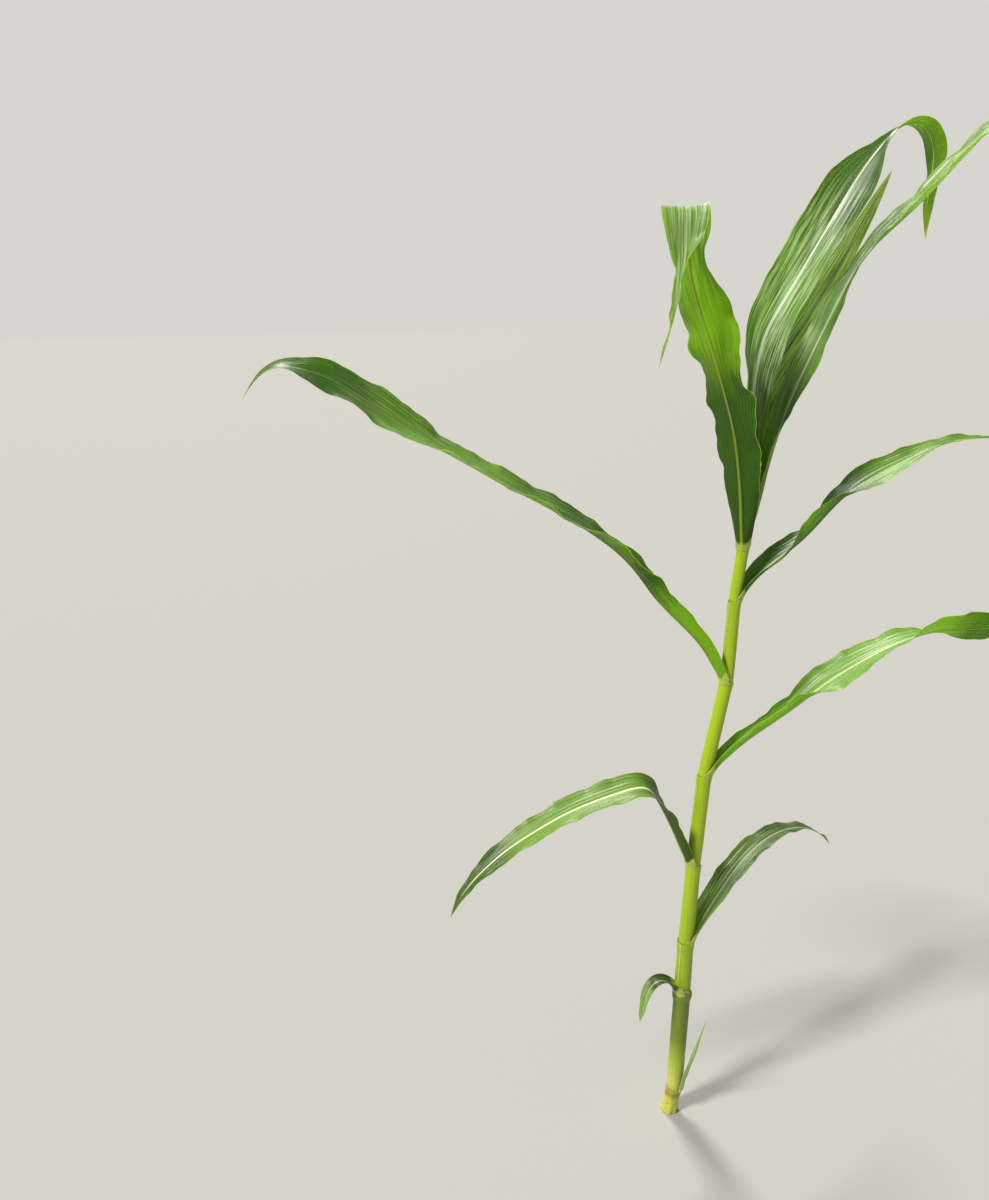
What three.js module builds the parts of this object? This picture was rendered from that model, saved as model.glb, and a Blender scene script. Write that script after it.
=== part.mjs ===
// A young maize plant, rooted in the ground, before its tassel shows.
// One jointed stalk runs from a flat cut at ground level to the spindle inside the whorl.
// Every leaf has a sheath that is rolled round the stalk and a long arching blade.
// Millimetres, +Z up. The origin is the middle of the flat cut under the stalk.
import * as THREE from 'three';

// Joints of the stalk from the ground up: height, sideways lean, radius, and how far the joint swells
const STALK = [
  { height: 0, lean: 0, radius: 15, swell: 0 },
  { height: 20, lean: 3, radius: 13.2, swell: 0 },
  { height: 52, lean: 8, radius: 13, swell: 1.2 },
  { height: 256, lean: 16, radius: 13.4, swell: 2.6 },
  { height: 356, lean: 19, radius: 12, swell: 1.4 },
  { height: 505, lean: 27, radius: 10.8, swell: 0.8 },
  { height: 667, lean: 39, radius: 10.2, swell: 0.8 },
  { height: 829, lean: 68, radius: 9.4, swell: 0.6 },
  { height: 961, lean: 74, radius: 8.4, swell: 0.6 },
  { height: 1044, lean: 83, radius: 7.6, swell: 0.4 },
  { height: 1090, lean: 90, radius: 6, swell: 0 },
  { height: 1104, lean: 92, radius: 2.8, swell: 0 },
  { height: 1140, lean: 95, radius: 1.6, swell: 0 },
];
const SWELL_BELOW = 12;      // a joint's swelling sits this far below the collar of its leaf
const SWELL_REACH = 7;
const SWELL_RINGS = [6, 12, 18, 26];
const RING_STEP = 55;
const STALK_SIDES = 16;

// Sheaths and blades
const LAST_SHEATH = 9;       // the leaves above this one stand inside the whorl with no sheath in view
const SHEATH_WALL = 1.5;
const CLEAR = 0.4;           // gap kept between pieces that touch on the real plant
const FOOT_CLEAR = 1.3;      // a blade's foot stands this far off the sheath that it wraps
const MARGIN_THICKNESS = 1.6;
const MIDRIB_SHARE = 0.0105; // midrib depth as a share of the blade's length
const RIB_HALF = 0.22;       // the midrib's half-width as a share of the blade's half-width
const ACROSS = [-1, -0.62, -RIB_HALF, 0, RIB_HALF, 0.62, 1];
const STEP = 24;             // length of blade between two cross-sections
const CUT_GAP = 0.5;         // gap where an arching blade is made in two lengths

// Leaves from the ground up. Each row of way gives the direction of the blade at one place along it:
// [place in hundredths of the length, pitch above level, compass heading with 0 along +X, roll, cup of
// the margins], the last four in degrees. bend is where an arching blade is cut in two, as a share of
// its length, and each of the pinches narrows it at a place: [place, reach, share of the width left].
// The leaves of the whorl have a foot of their own size, because they wrap only the spindle and each
// other.
const LEAVES = [
  { name: 'leaf_01', collar: 52, length: 170, width: 14,
    way: [[0, 80, -20, 0, 50], [33.3, 74, -45, 0, 50], [66.7, 77, -50, 0, 40], [100, 72, -50, 0, 30]] },
  { name: 'leaf_02', collar: 256, length: 125, width: 28,
    way: [[0, 70, 200, 0, 75], [25, 30, 200, 0, 40], [50, -50, 205, 0, 30], [75, -72, 215, 0, 30],
      [100, -66, 230, 0, 20]] },
  { name: 'leaf_03', collar: 356, length: 430, width: 50, bend: 0.45,
    way: [[0, 66, 20, 0, 85], [20, 35, 40, 0, 50], [40, 20, 40, 0, 30], [60, 0, 35, 0, 25],
      [80, -25, 30, 0, 25], [100, -55, 30, 0, 20]] },
  { name: 'leaf_04', collar: 505, length: 560, width: 62, bend: 0.3,
    way: [[0, 72, 190, 0, 85], [10, 68, 194, 3, 50], [18, 64, 197, 6, 35], [24, 59, 196, 12, 30],
      [28, 44, 194, 16, 25], [31, 12, 193, 16, 25], [35, -8, 192, 14, 22], [42, -13, 192, 12, 22],
      [50, -18, 192, 12, 22], [60, -26, 192, 14, 20], [70, -30, 192, 20, 20], [78, -38, 192, 28, 20],
      [85, -44, 192, 28, 20], [92, -55, 194, 24, 20], [100, -68, 198, 15, 20]] },
  { name: 'leaf_05', collar: 667, length: 740, width: 70, bend: 0.52,
    pinches: [[0.17, 0.1, 0.68]],
    way: [[0, 56, 0, 0, 85], [7, 44, 0, 0, 100], [14, 37, 0, 0, 115], [22, 38, 0, 2, 110],
      [27, 40, 0, -4, 80], [32, 36, 0, -22, 25], [40, 31, 0, -8, 25], [46, 26, 0, 0, 30],
      [52, 18, 0, 14, 40], [58, 4, 0, 45, 35], [65, 0, 0, 66, 20], [72, -3, 0, 66, 20],
      [86, -18, 0, 58, 20], [100, -42, 0, 30, 20]] },
  { name: 'leaf_06', collar: 829, length: 895, width: 84, widest: 0.62, bend: 0.55,
    way: [[0, 66, 190, 0, 85], [5, 60, 190, 0, 85], [9, 50, 190, 0, 95], [13, 46, 190, -4, 100],
      [18, 48, 190, -2, 100], [23, 55, 190, 4, 90], [27, 50, 190, 10, 55], [31, 42, 190, 4, 40],
      [35, 37, 190, 2, 40], [40, 33, 190, 14, 25], [47, 30, 190, 8, 30], [55, 31, 190, 12, 25],
      [60, 31, 190, 8, 25], [65, 32, 190, 10, 25], [70, 34, 190, 24, 25], [75, 38, 190, 38, 20],
      [80, 35, 190, 34, 20], [84, 29, 190, 46, 15], [88, 18, 190, 46, 20], [91, 8, 190, 25, 25],
      [94, -25, 190, 10, 30], [97, -48, 190, 5, 30], [100, -55, 190, 0, 30]] },
  { name: 'leaf_07', collar: 961, length: 520, width: 60, bend: 0.48,
    way: [[0, 62, 8, 0, 85], [8, 46, 9, -6, 75], [16, 35, 9, -12, 60], [23, 40, 8, 18, 60],
      [31, 48, 7, 32, 50], [38, 44, 7, 20, 50], [44, 34, 8, -5, 30], [52, 27, 8, -22, 25],
      [60, 24, 7, -18, 25], [67, 24, 7, -6, 30], [75, 12, 6, -2, 30], [85, 0, 6, 0, 30],
      [100, -16, 5, 20, 20]] },
  { name: 'leaf_08', collar: 1044, length: 717, width: 82, bend: 0.7,
    pinches: [[0.9, 0.09, 0.42]],
    way: [[0, 82, 240, 0, 85], [10, 77, 236, 0, 40], [20, 74, 225, 0, 15], [30, 68, 212, -4, 12],
      [40, 67, 206, -8, 15], [50, 66, 202, -34, 50], [60, 80, 200, -54, 105], [66, 84, 212, -50, 40],
      [70, 5, 262, 0, 6], [74, -84, 262, 0, 10], [81, -79, 225, 0, 75], [89, -76, 205, 0, 90],
      [100, -70, 196, 0, 50]] },
  { name: 'leaf_09', collar: 1090, length: 760, width: 54, widest: 0.5, bend: 0.6,
    footRadius: 11, footThickness: 0.2, pinches: [[0.49, 0.05, 0.35]],
    way: [[0, 84, -14, 0, 54], [14, 76, -6, -10, 50], [29, 67, -2, -44, 40], [38, 66, 0, -22, 30],
      [48, 60, -2, -30, 60], [54, 46, -6, -14, 50], [71, 49, -10, -10, 50], [86, 36, -10, -15, 30],
      [100, -14, -4, 0, 20]] },
  { name: 'leaf_10', collar: 1106, length: 779, width: 84, widest: 0.52, bend: 0.775,
    footRadius: 4.2, footThickness: 0.1, pinches: [[0.728, 0.072, 0.12]],
    way: [[0, 86, 84, 0, 100], [12.5, 78, 90, -10, 100], [24, 79, 50, -60, 60], [36.5, 61, 6, -56, 50],
      [49, 60, 4, -50, 50], [60.5, 58, 8, -52, 44], [68, 50, 10, -46, 34], [72.5, 42, 12, -20, 40],
      [77, 5, 14, 16, 30], [81, -45, 16, 8, 25], [85, -80, 20, -3, 20], [100, -84, 24, -3, 20]] },
  { name: 'leaf_11', collar: 1096, length: 525, width: 62, widest: 0.46,
    footRadius: 7, footThickness: 0.15, pinches: [[0.78, 0.22, 0.68]],
    way: [[0, 83, 88, 0, 75], [10, 74, 86, -8, 100], [20, 71, 68, -36, 80], [33, 65, 24, -70, 50],
      [50, 58, 4, -82, 40], [65, 60, 0, -84, 30], [80, 62, 0, -84, 25], [100, 63, 0, -84, 25]] },
];
const WIDEST = 0.4;          // where a blade is widest, as a share of its length, unless its row says
const TAPER = 0.85;          // how full the blade stays towards its tip
const TIP = 0.992;           // the last section stops short of the point, so that it stays a solid end
const FOOT_THICKNESS = 0.4;  // share of the midrib's depth that a blade has where it leaves its sheath
const FOOT_REACH = 0.3;      // share of the length over which the midrib grows to its full depth
const TIP_THICKNESS = 0.25;
const TIP_REACH = 0.7;
const SEAT = 1;              // a blade starts this far above its collar
const PATH_STEPS = 400;

const STALK_COLOUR = 0x8fa82c;
const SHEATH_COLOUR = 0x7f9f26;
const BLADE_COLOUR = 0x3f7a22;

const radians = THREE.MathUtils.degToRad;

// Straight-line value between the two joints of the stalk around a height
function betweenJoints(key, z) {
  const above = Math.max(1, STALK.findIndex((joint) => joint.height >= z));
  const [low, high] = [STALK[above - 1], STALK[above]];
  return THREE.MathUtils.mapLinear(z, low.height, high.height, low[key], high[key]);
}

function swelling(z) {
  return STALK.reduce((sum, joint) => {
    const away = (z - joint.height + SWELL_BELOW) / SWELL_REACH;
    return sum + joint.swell * Math.exp(-away * away);
  }, 0);
}

const stalkRadius = (z) => betweenJoints('radius', z) + swelling(z);

// Heights of the rings that the stalk and its sheaths share, closer together round each joint
function ringLevels() {
  const levels = new Set();
  STALK.forEach((joint, i) => {
    levels.add(joint.height);
    if (joint.swell > 0) SWELL_RINGS.forEach((drop) => levels.add(joint.height - drop));
    if (i === 0) return;
    const span = joint.height - STALK[i - 1].height;
    const parts = Math.ceil(span / RING_STEP);
    for (let k = 1; k < parts; k += 1) levels.add(STALK[i - 1].height + (span * k) / parts);
  });
  return [...levels].sort((a, b) => a - b);
}
const LEVELS = ringLevels();

// A closed solid from rings of points: quads join the rings, and each end is shut by a strip that
// runs between the ring's first half and its second, so that a hollow, curved end stays hollow
function loft(rings, closedRound = false) {
  const sides = rings[0].length;
  const positions = rings.flat().flatMap((p) => [p.x, p.y, p.z]);
  const faces = [];
  const bands = closedRound ? rings.length : rings.length - 1;
  for (let i = 0; i < bands; i += 1) {
    const a = i * sides;
    const b = ((i + 1) % rings.length) * sides;
    for (let j = 0; j < sides; j += 1) {
      const k = (j + 1) % sides;
      faces.push(a + j, a + k, b + k, a + j, b + k, b + j);
    }
  }
  if (!closedRound) {
    const last = (rings.length - 1) * sides;
    for (let j = 0; j < sides / 2; j += 1) {
      const [near, far] = [(sides - j) % sides, sides - j - 1];
      if (near !== j) faces.push(j, near, far, last + j, last + far, last + near);
      if (far !== j + 1) faces.push(j, far, j + 1, last + j, last + j + 1, last + far);
    }
  }
  const geometry = new THREE.BufferGeometry();
  geometry.setAttribute('position', new THREE.Float32BufferAttribute(positions, 3));
  geometry.setIndex(faces);
  geometry.computeVertexNormals();
  return geometry;
}

// One level ring of points round the stalk's middle line
function ringAt(z, radius) {
  const x = betweenJoints('lean', z);
  return Array.from({ length: STALK_SIDES }, (_, j) => {
    const angle = (2 * Math.PI * j) / STALK_SIDES;
    return new THREE.Vector3(x + radius * Math.cos(angle), radius * Math.sin(angle), z);
  });
}

function stalkGeometry() {
  return loft(LEVELS.map((z) => ringAt(z, stalkRadius(z))));
}

// The radius at any height as the ringed stalk really has it, so that a sheath follows its faces
function facetedRadius(z) {
  const above = Math.max(1, LEVELS.findIndex((level) => level >= z));
  const [low, high] = [LEVELS[above - 1], LEVELS[above]];
  return THREE.MathUtils.mapLinear(z, low, high, stalkRadius(low), stalkRadius(high));
}

// A sheath is a tube round the stalk, open at both ends, from one collar to the next
function sheathGeometry(from, to) {
  const start = from + CLEAR / 2;
  const end = to - CLEAR / 2;
  const heights = [start, ...LEVELS.filter((z) => z > start && z < end), end];
  const outside = heights.map((z) => ringAt(z, facetedRadius(z) + CLEAR + SHEATH_WALL));
  const inside = heights.map((z) => ringAt(z, facetedRadius(z) + CLEAR));
  return loft([...outside, ...inside.reverse()], true);
}

// Smooth curve through rows of numbers that each start with their place in hundredths, t from 0 to 1.
// A row's slope is that of the parabola through it and its neighbours.
function throughRows(rows, t) {
  const place = (k) => rows[k][0] / 100;
  const last = rows.length - 1;
  const climb = (k, c) => (rows[k + 1][c] - rows[k][c]) / (place(k + 1) - place(k));
  const slope = (k, c) => {
    if (k === 0) return climb(0, c);
    if (k === last) return climb(last - 1, c);
    const [before, after] = [place(k) - place(k - 1), place(k + 1) - place(k)];
    return (before * climb(k, c) + after * climb(k - 1, c)) / (before + after);
  };
  const above = rows.findIndex((row) => row[0] / 100 > t);
  const i = (above < 0 ? last : above) - 1;
  const gap = place(i + 1) - place(i);
  const f = (t - place(i)) / gap;
  return [1, 2, 3, 4].map((c) => {
    const low = (1 + 2 * f) * rows[i][c] + f * gap * slope(i, c);
    const high = (3 - 2 * f) * rows[i + 1][c] + (f - 1) * gap * slope(i + 1, c);
    return (1 - f) ** 2 * low + f ** 2 * high;
  });
}

// The blade's frame: along it, across it, and out of its upper side
function bladeAxes(pitch, heading, roll) {
  const [p, a, r] = [radians(pitch), radians(heading), radians(roll)];
  const along = new THREE.Vector3(Math.cos(p) * Math.cos(a), Math.cos(p) * Math.sin(a), Math.sin(p));
  const up = new THREE.Vector3(-Math.sin(p) * Math.cos(a), -Math.sin(p) * Math.sin(a), Math.cos(p));
  const side = new THREE.Vector3(Math.sin(a), -Math.cos(a), 0);
  const across = side.clone().multiplyScalar(Math.cos(r)).addScaledVector(up, Math.sin(r));
  const out = up.multiplyScalar(Math.cos(r)).addScaledVector(side, -Math.sin(r));
  return { along, across, out };
}

function footRadius(leaf) {
  const sheath = betweenJoints('radius', leaf.collar) + CLEAR + SHEATH_WALL;
  return leaf.footRadius ?? sheath + FOOT_CLEAR;
}

function halfWidth(leaf, t, foot) {
  const widest = leaf.width / 2;
  const peak = leaf.widest ?? WIDEST;
  const early = foot + (widest - foot) * Math.sin((Math.min(t, peak) / peak) * (Math.PI / 2));
  const late = (Math.max(t, peak) - peak) / (1 - peak);
  const full = t < peak ? early : widest * Math.cos(late * (Math.PI / 2)) ** TAPER;
  return (leaf.pinches ?? []).reduce((half, [place, reach, share]) => {
    const away = (t - place) / reach;
    return half * (1 - (1 - share) * Math.exp(-away * away));
  }, full);
}

// The midrib's line, found by walking along the blade's directions from the collar
function midribPath(leaf) {
  const heading = radians(leaf.way[0][2]);
  const reach = footRadius(leaf);
  const point = new THREE.Vector3(
    betweenJoints('lean', leaf.collar) + reach * Math.cos(heading),
    reach * Math.sin(heading),
    leaf.collar + SEAT,
  );
  const path = [point.clone()];
  for (let i = 0; i < PATH_STEPS; i += 1) {
    const [pitch, turn, roll] = throughRows(leaf.way, (i + 0.5) / PATH_STEPS);
    point.addScaledVector(bladeAxes(pitch, turn, roll).along, leaf.length / PATH_STEPS);
    path.push(point.clone());
  }
  return path;
}

// Cross-section of the blade at t: an arc of the cup's angle, with the midrib proud of its underside
function bladeSection(leaf, path, t) {
  const place = t * PATH_STEPS;
  const step = Math.min(Math.floor(place), PATH_STEPS - 1);
  const middle = path[step].clone().lerp(path[step + 1], place - step);
  const [pitch, heading, roll, cup] = throughRows(leaf.way, t);
  const { across, out } = bladeAxes(pitch, heading, roll);
  const half = halfWidth(leaf, t, footRadius(leaf) * radians(leaf.way[0][4]));
  const bow = radians(cup) / half;
  const { lerp, smoothstep } = THREE.MathUtils;
  const foot = lerp(leaf.footThickness ?? FOOT_THICKNESS, 1, smoothstep(t, 0, FOOT_REACH));
  const tip = lerp(1, TIP_THICKNESS, smoothstep(t, TIP_REACH, 1));
  const rib = Math.max(MARGIN_THICKNESS, leaf.length * MIDRIB_SHARE * foot) * tip;
  const margin = MARGIN_THICKNESS * tip;
  const corner = (q, depth) => {
    const turn = radians(cup) * q;
    const inward = out.clone().multiplyScalar(Math.cos(turn)).addScaledVector(across, -Math.sin(turn));
    return middle.clone()
      .addScaledVector(across, Math.sin(turn) / bow)
      .addScaledVector(out, (1 - Math.cos(turn)) / bow)
      .addScaledVector(inward, -depth);
  };
  const thickness = (q) => {
    const share = Math.max(0, 1 - Math.abs(q) / (2 * RIB_HALF)) ** 2;
    return margin + (rib - margin) * share;
  };
  const upper = ACROSS.map((q) => corner(q, 0));
  const under = [...ACROSS].reverse().map((q) => corner(q, thickness(q)));
  return [...upper, ...under];
}

function bladeGeometry(leaf, path, from, to) {
  const parts = Math.max(2, Math.round(((to - from) * leaf.length) / STEP));
  const rings = [];
  for (let i = 0; i <= parts; i += 1) {
    rings.push(bladeSection(leaf, path, from + ((to - from) * i) / parts));
  }
  return loft(rings);
}

function piece(name, geometry, material) {
  const mesh = new THREE.Mesh(geometry, material);
  mesh.name = name;
  return mesh;
}

function finish(color, roughness) {
  return new THREE.MeshStandardMaterial({ color, roughness, metalness: 0 });
}

const stalkMaterial = finish(STALK_COLOUR, 0.55);
const sheathMaterial = finish(SHEATH_COLOUR, 0.5);
const bladeMaterial = finish(BLADE_COLOUR, 0.45);

const plant = new THREE.Group();
plant.add(piece('stalk', stalkGeometry(), stalkMaterial));

// Each sheath runs from the collar below it to its own leaf's collar
LEAVES.slice(1, LAST_SHEATH).forEach((leaf, i) => {
  const name = leaf.name.replace('leaf', 'sheath');
  plant.add(piece(name, sheathGeometry(LEAVES[i].collar, leaf.collar), sheathMaterial));
});

// A short or upright blade is one piece, and an arching one is two that meet at its bend
LEAVES.forEach((leaf) => {
  const path = midribPath(leaf);
  if (!leaf.bend) {
    plant.add(piece(leaf.name, bladeGeometry(leaf, path, 0, TIP), bladeMaterial));
    return;
  }
  const gap = CUT_GAP / leaf.length;
  plant.add(piece(`${leaf.name}_rise`, bladeGeometry(leaf, path, 0, leaf.bend - gap / 2), bladeMaterial));
  plant.add(piece(`${leaf.name}_fall`, bladeGeometry(leaf, path, leaf.bend + gap / 2, TIP), bladeMaterial));
});

export default plant;
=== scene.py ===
# A young maize plant in leaf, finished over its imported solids. The stalk comes first, then the
# sheaths rolled round it, the ligules in their mouths, and the long blades. Lengths and places in
# the tables are millimetres, as on the plant, and every mesh is made in metres.
import math

import bpy
import numpy as np
from mathutils import Matrix


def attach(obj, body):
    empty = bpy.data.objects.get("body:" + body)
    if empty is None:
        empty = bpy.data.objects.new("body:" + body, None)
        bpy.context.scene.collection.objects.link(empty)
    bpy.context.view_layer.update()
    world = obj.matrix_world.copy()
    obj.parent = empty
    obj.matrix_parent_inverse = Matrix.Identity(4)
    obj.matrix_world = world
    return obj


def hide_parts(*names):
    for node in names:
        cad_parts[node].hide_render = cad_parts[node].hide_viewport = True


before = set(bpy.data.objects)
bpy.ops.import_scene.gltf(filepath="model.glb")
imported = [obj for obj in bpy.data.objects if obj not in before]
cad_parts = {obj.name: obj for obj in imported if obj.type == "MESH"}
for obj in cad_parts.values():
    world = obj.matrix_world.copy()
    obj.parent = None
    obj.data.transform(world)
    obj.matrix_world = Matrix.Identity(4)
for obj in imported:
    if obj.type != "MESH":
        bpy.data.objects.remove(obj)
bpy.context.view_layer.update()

# Camera
# A phone camera held at standing height, tipped down towards the plant and turned a little.
# The photograph is 989 by 1200 pixels, and a slope of one covers 990 of them.
CAMERA_PLACE = (-0.2943, -1.4524, 1.400)
# degrees below level, and degrees turned about its own line of sight
CAMERA_DOWN = 16.6
CAMERA_ROLL = 1.34
SLOPE_PIXELS = 990
PHOTO_HEIGHT = 1200
SENSOR = 36

lens = bpy.data.cameras.new("photo_camera")
lens.sensor_fit = "AUTO"
lens.sensor_width = SENSOR
lens.lens = SENSOR * SLOPE_PIXELS / PHOTO_HEIGHT
camera = bpy.data.objects.new("photo_camera", lens)
tip = Matrix.Rotation(math.radians(90 - CAMERA_DOWN), 4, "X")
turn = Matrix.Rotation(math.radians(-CAMERA_ROLL), 4, "Z")
camera.matrix_world = Matrix.Translation(CAMERA_PLACE) @ tip @ turn
bpy.context.scene.collection.objects.link(camera)
bpy.context.scene.camera = camera
bpy.context.scene.view_settings.view_transform = "Standard"

# Floor and studio light
# A plain pale floor that runs out to the horizon and meets a sky of its own tone. Two broad suns,
# one high on the left and one behind the plant, shape the blades and light them through.
FLOOR_HALF = 60
FLOOR_DROP = 0.0006
FLOOR_ROUGHNESS = 0.9
FLOOR_COLOUR = (0.38, 0.378, 0.37, 1)
SKY_COLOUR = (1.0, 0.98, 0.915, 1)
# strength of the sky's light, and of the sky as the camera sees it
SKY_LIGHT = 0.34
HORIZON_LIGHT = 0.68
# compass heading and height of the sun in degrees, its breadth, its strength, its colour
SUNS = {
    "key": (211, 46, 9, 3.2, (1, 0.97, 0.9)),
    "back": (106, 52, 14, 2.5, (1, 0.98, 0.9)),
}


def put_node(tree, kind, inputs=None, **settings):
    """One shader node. settings are the node's own choices, and inputs gives each named or
    numbered input either a plain value or the socket that feeds it."""
    made = tree.nodes.new("ShaderNode" + kind)
    for name, value in settings.items():
        setattr(made, name, value)
    for name, value in (inputs or {}).items():
        if isinstance(value, bpy.types.NodeSocket):
            tree.links.new(value, made.inputs[name])
        else:
            made.inputs[name].default_value = value
    return made


def new_finish(name, **sockets):
    """A material with one Principled shader, whose plain sockets are given by name."""
    material = bpy.data.materials.new(name)
    material.use_nodes = True
    shader = material.node_tree.nodes["Principled BSDF"]
    for key, value in sockets.items():
        shader.inputs[key.replace("_", " ")].default_value = value
    return material, material.node_tree, shader


floor_mesh = bpy.data.meshes.new("floor")
signs = ((-1, -1), (1, -1), (1, 1), (-1, 1))
corners = [(x * FLOOR_HALF, y * FLOOR_HALF, -FLOOR_DROP) for x, y in signs]
floor_mesh.from_pydata(corners, [], [(0, 1, 2, 3)])
floor = bpy.data.objects.new("floor", floor_mesh)
bpy.context.scene.collection.objects.link(floor)
floor_paint = new_finish("floor_paint", Base_Color=FLOOR_COLOUR, Roughness=FLOOR_ROUGHNESS)[0]
floor_mesh.materials.append(floor_paint)

sky = bpy.data.worlds.new("studio")
sky.use_nodes = True
sky_tree = sky.node_tree
sky_tree.nodes["Background"].inputs["Color"].default_value = SKY_COLOUR
sky_strength = put_node(sky_tree, "Mix", {
    0: put_node(sky_tree, "LightPath").outputs["Is Camera Ray"], 2: SKY_LIGHT, 3: HORIZON_LIGHT})
sky_tree.links.new(sky_strength.outputs[0], sky_tree.nodes["Background"].inputs["Strength"])
bpy.context.scene.world = sky

for sun_name, (heading, height, breadth, strength, tint) in SUNS.items():
    sun = bpy.data.lights.new(sun_name, "SUN")
    sun.angle = math.radians(breadth)
    sun.energy = strength
    sun.color = tint
    stand = bpy.data.objects.new(sun_name, sun)
    bpy.context.scene.collection.objects.link(stand)
    stand.rotation_euler = (math.radians(90 - height), 0, math.radians(heading + 90))

# Stalk
# The real stalk is a jointed cane with a smooth waxy rind. It flares into its foot, swells a
# little at each joint, has a shallow groove up each length, and ends in the whorl's thin spindle.

# height of the joint, sideways lean, radius, swelling
STALK = np.array([
    (0, 0, 15, 0), (20, 3, 13.2, 0), (52, 8, 13, 1.2), (256, 16, 13.4, 2.6), (356, 19, 12, 1.4),
    (505, 27, 10.8, 0.8), (667, 39, 10.2, 0.8), (829, 68, 9.4, 0.6), (961, 74, 8.4, 0.6),
    (1044, 83, 7.6, 0.4), (1090, 90, 6, 0), (1104, 92, 2.8, 0), (1140, 95, 1.6, 0)], float)
SWELL_BELOW = 12
SWELL_REACH = 7
STALK_STEP = 2.5
STALK_SIDES = 72
FOOT_LOBES = 7
FOOT_LOBE_DEPTH = 0.9
FOOT_LOBE_REACH = 16
RING_HEIGHT = 0.7
RING_REACH = 1.7
RING_BELOW = 3
GROOVE_DEPTH = 0.5
GROOVE_SPREAD = 0.12
GROOVE_FADES_BELOW = 60
RIBS = 24
RIB_DEPTH = 0.08
RIBS_FADE_BELOW = 30
SHARP_EDGE = 70
MM = 0.001
# metres that light goes into a skin
GLOW_DEPTH = 0.002


def stalk_lean(z):
    """Sideways place of the stalk's middle: straight lines between its joints."""
    return np.interp(z, STALK[:, 0], STALK[:, 1])


def stalk_radius(z):
    """Straight lines between the joints' radii, plus at each joint its swelling times
    exp(-((z - joint + 12) / 7) squared)."""
    away = (z[..., None] - STALK[:, 0] + SWELL_BELOW) / SWELL_REACH
    return np.interp(z, STALK[:, 0], STALK[:, 2]) + (STALK[:, 3] * np.exp(-away ** 2)).sum(-1)


def closed_skin(name, rings, unwrap, finishes, under=None, marks=None):
    """A closed mesh from rings of points that each go all the way round the piece. Quads join
    ring to ring, and each end is shut by a strip between the ring's two halves, so that a thin
    curved end stays thin. unwrap is each point's place on the surface, under is where in a ring
    the second finish starts, and marks are numbers kept at each point for the materials."""
    count, sides = rings.shape[:2]
    here = np.arange(sides)
    after = (here + 1) % sides
    row = np.arange(count - 1)[:, None] * sides
    walls = np.stack([row + here, row + after, row + sides + after, row + sides + here], -1)
    half = np.arange(sides // 2)
    near = (sides - half) % sides
    far = sides - half - 1
    strip = np.concatenate([
        np.stack([half, near, far], -1)[1:], np.stack([half, far, half + 1], -1)[:-1]])
    last = (count - 1) * sides
    faces = walls.reshape(-1, 4).tolist() + strip.tolist() + (strip[:, ::-1] + last).tolist()
    mesh = bpy.data.meshes.new(name)
    mesh.from_pydata((rings.reshape(-1, 3) * MM).tolist(), [], faces)
    uses = np.empty(len(mesh.loops), np.int32)
    mesh.loops.foreach_get("vertex_index", uses)
    surface = mesh.uv_layers.new(name="surface")
    surface.data.foreach_set("uv", unwrap.reshape(-1, 2)[uses].astype(np.float32).ravel())
    for mark, values in (marks or {}).items():
        kept = mesh.attributes.new(mark, "FLOAT", "POINT")
        spread = np.broadcast_to(values, (count, sides))
        kept.data.foreach_set("value", spread.astype(np.float32).ravel())
    for finish in finishes:
        mesh.materials.append(finish)
    if under is not None:
        choice = np.zeros(len(faces), np.int32)
        choice[:walls.shape[0] * sides] = np.tile(here >= under, count - 1)
        mesh.polygons.foreach_set("material_index", choice)
    mesh.update()
    mesh.shade_smooth()
    mesh.set_sharp_from_angle(angle=math.radians(SHARP_EDGE))
    made = bpy.data.objects.new(name, mesh)
    bpy.context.scene.collection.objects.link(made)
    return made


def screen(red, green, blue):
    """A colour from its 0 to 255 screen values: the light is ((c / 255 + 0.055) / 1.055) to the
    power of 2.4."""
    return tuple(((c / 255 + 0.055) / 1.055) ** 2.4 for c in (red, green, blue)) + (1,)


def calculate(tree, operation, *values):
    """The result of one Math node on plain numbers or sockets."""
    return put_node(tree, "Math", dict(enumerate(values)), operation=operation).outputs[0]


def fade(tree, value, start, end):
    """A mask that goes smoothly from 0 where value is start to 1 where it is end."""
    return put_node(tree, "MapRange", {"Value": value, "From Min": start, "From Max": end},
                    interpolation_type="SMOOTHSTEP").outputs["Result"]


def paint(tree, mask, below, above, way="MIX"):
    """Colour below with colour above laid over it by the mask."""
    mix = put_node(tree, "Mix", {0: mask, 6: below, 7: above}, data_type="RGBA", blend_type=way)
    return mix.outputs[2]


def grain(tree, place, stretch, scale, detail=3):
    """Soft noise between 0 and 1 on a place that is first stretched along its three axes."""
    moved = put_node(tree, "Mapping", {"Vector": place, "Scale": stretch}).outputs[0]
    return put_node(tree, "TexNoise", {"Vector": moved, "Scale": scale, "Detail": detail}).outputs["Fac"]


def height_colours(tree, height, *stops):
    """Colours laid up the plant by height in metres, each stop a height and a screen colour."""
    top = stops[-1][0]
    share = calculate(tree, "DIVIDE", height, top)
    ramp = put_node(tree, "ValToRGB", {"Fac": share})
    while len(ramp.color_ramp.elements) < len(stops):
        ramp.color_ramp.elements.new(0.5)
    for element, (level, colour) in zip(ramp.color_ramp.elements, stops):
        element.position = level / top
        element.color = screen(*colour)
    return ramp.outputs["Color"]


def relief(tree, shader, height, distance, strength):
    """Feeds the shader's Normal with a Bump whose full height is distance in metres."""
    bump = put_node(tree, "Bump", {"Height": height, "Distance": distance, "Strength": strength})
    tree.links.new(bump.outputs["Normal"], shader.inputs["Normal"])


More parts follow.
